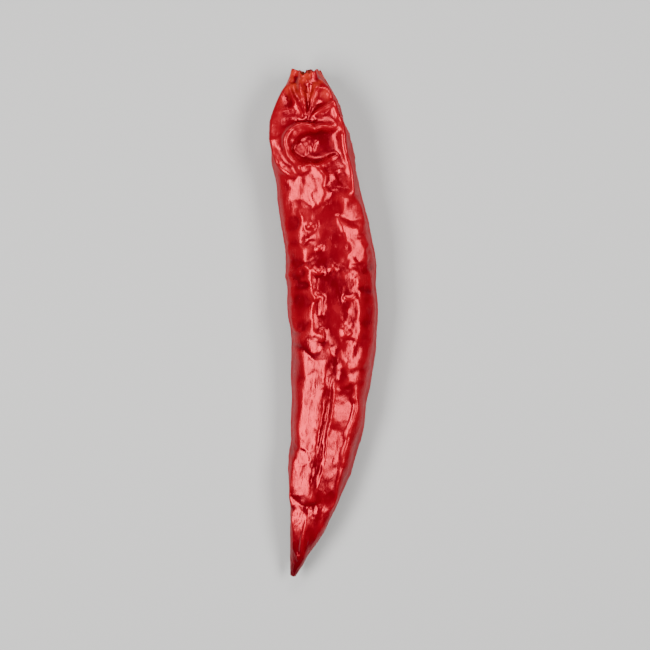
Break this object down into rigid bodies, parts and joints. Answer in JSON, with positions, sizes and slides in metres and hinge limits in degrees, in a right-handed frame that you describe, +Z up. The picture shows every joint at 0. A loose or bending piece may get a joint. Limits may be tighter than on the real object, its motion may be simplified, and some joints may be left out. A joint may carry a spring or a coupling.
{
  "type": "dried chilli pepper",
  "caption": "Long dried red chilli pod, stem pulled off, lying on its side: bowed, flattened and creased, with a puckered open stem end and a pointed tip.",
  "frame": {"origin": "middle of the pod's bounding box, on the surface that the pod lies on", "axes": "+Z up from the surface; +Y towards the stem end and -Y towards the tip, along the pod; +X towards the outside of its bow"},
  "size_m": [0.021, 0.1006, 0.0121],
  "materials": {
    "dried_skin": "glossy, wrinkled, waxy"
  },
  "bodies": {
    "root": {"chilli_pod": "dried_skin"}
  },
  "joints": []
}
